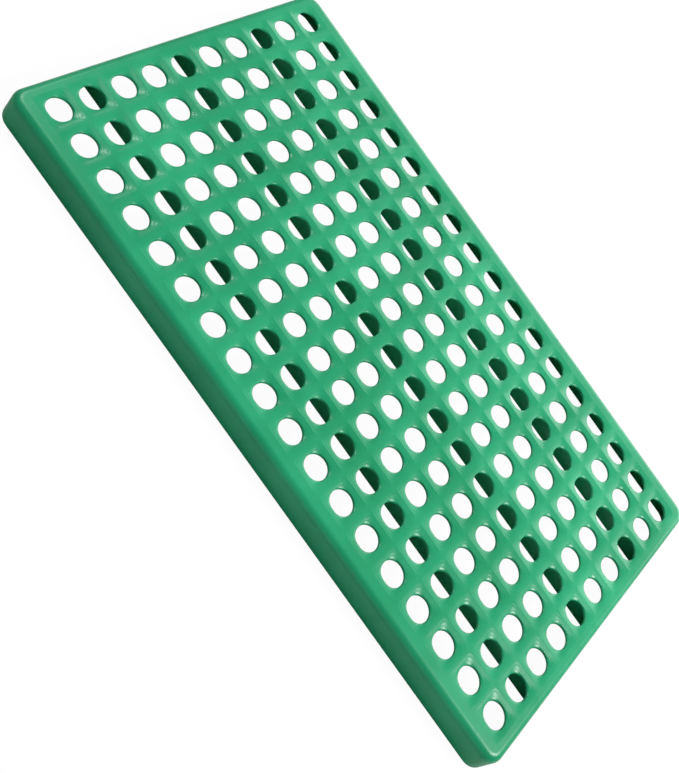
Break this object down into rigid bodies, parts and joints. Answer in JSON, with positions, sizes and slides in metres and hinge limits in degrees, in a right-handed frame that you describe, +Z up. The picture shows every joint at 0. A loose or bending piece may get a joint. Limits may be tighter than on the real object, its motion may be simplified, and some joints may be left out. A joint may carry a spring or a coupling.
{
  "type": "plug tray",
  "caption": "Green moulded plug tray: a flat deck with a square grid of countersunk round plug holes, rounded edges, a short skirt all round and lengthwise ribs underneath.",
  "frame": {"origin": "centre of the footprint, on the plane of the foot of the skirt", "axes": "+X across the width, +Y along the length, +Z up, so the deck is on top"},
  "size_m": [0.31, 0.53, 0.022],
  "materials": {
    "moulded_green": "satin moulded polypropylene"
  },
  "bodies": {
    "root": {"cross_band_01": "moulded_green", "cross_band_02": "moulded_green", "cross_band_03": "moulded_green", "cross_band_04": "moulded_green", "cross_band_05": "moulded_green", "cross_band_06": "moulded_green", "cross_band_07": "moulded_green", "cross_band_08": "moulded_green", "cross_band_09": "moulded_green", "cross_band_10": "moulded_green", "cross_band_11": "moulded_green", "cross_band_12": "moulded_green", "cross_band_13": "moulded_green", "cross_band_14": "moulded_green", "cross_band_15": "moulded_green", "cross_band_16": "moulded_green", "cross_band_17": "moulded_green", "cross_band_18": "moulded_green", "cross_band_19": "moulded_green", "edge_back": "moulded_green", "edge_corner_left_back": "moulded_green", "edge_corner_left_front": "moulded_green", "edge_corner_right_back": "moulded_green", "edge_corner_right_front": "moulded_green", "edge_front": "moulded_green", "edge_left": "moulded_green", "edge_right": "moulded_green", "rib_1": "moulded_green", "rib_2": "moulded_green", "rib_3": "moulded_green", "row_webs_01": "moulded_green", "row_webs_02": "moulded_green", "row_webs_03": "moulded_green", "row_webs_04": "moulded_green", "row_webs_05": "moulded_green", "row_webs_06": "moulded_green", "row_webs_07": "moulded_green", "row_webs_08": "moulded_green", "row_webs_09": "moulded_green", "row_webs_10": "moulded_green", "row_webs_11": "moulded_green", "row_webs_12": "moulded_green", "row_webs_13": "moulded_green", "row_webs_14": "moulded_green", "row_webs_15": "moulded_green", "row_webs_16": "moulded_green", "row_webs_17": "moulded_green", "row_webs_18": "moulded_green", "skirt_back": "moulded_green", "skirt_corner_left_back": "moulded_green", "skirt_corner_left_front": "moulded_green", "skirt_corner_right_back": "moulded_green", "skirt_corner_right_front": "moulded_green", "skirt_front": "moulded_green", "skirt_left": "moulded_green", "skirt_right": "moulded_green"}
  },
  "joints": []
}
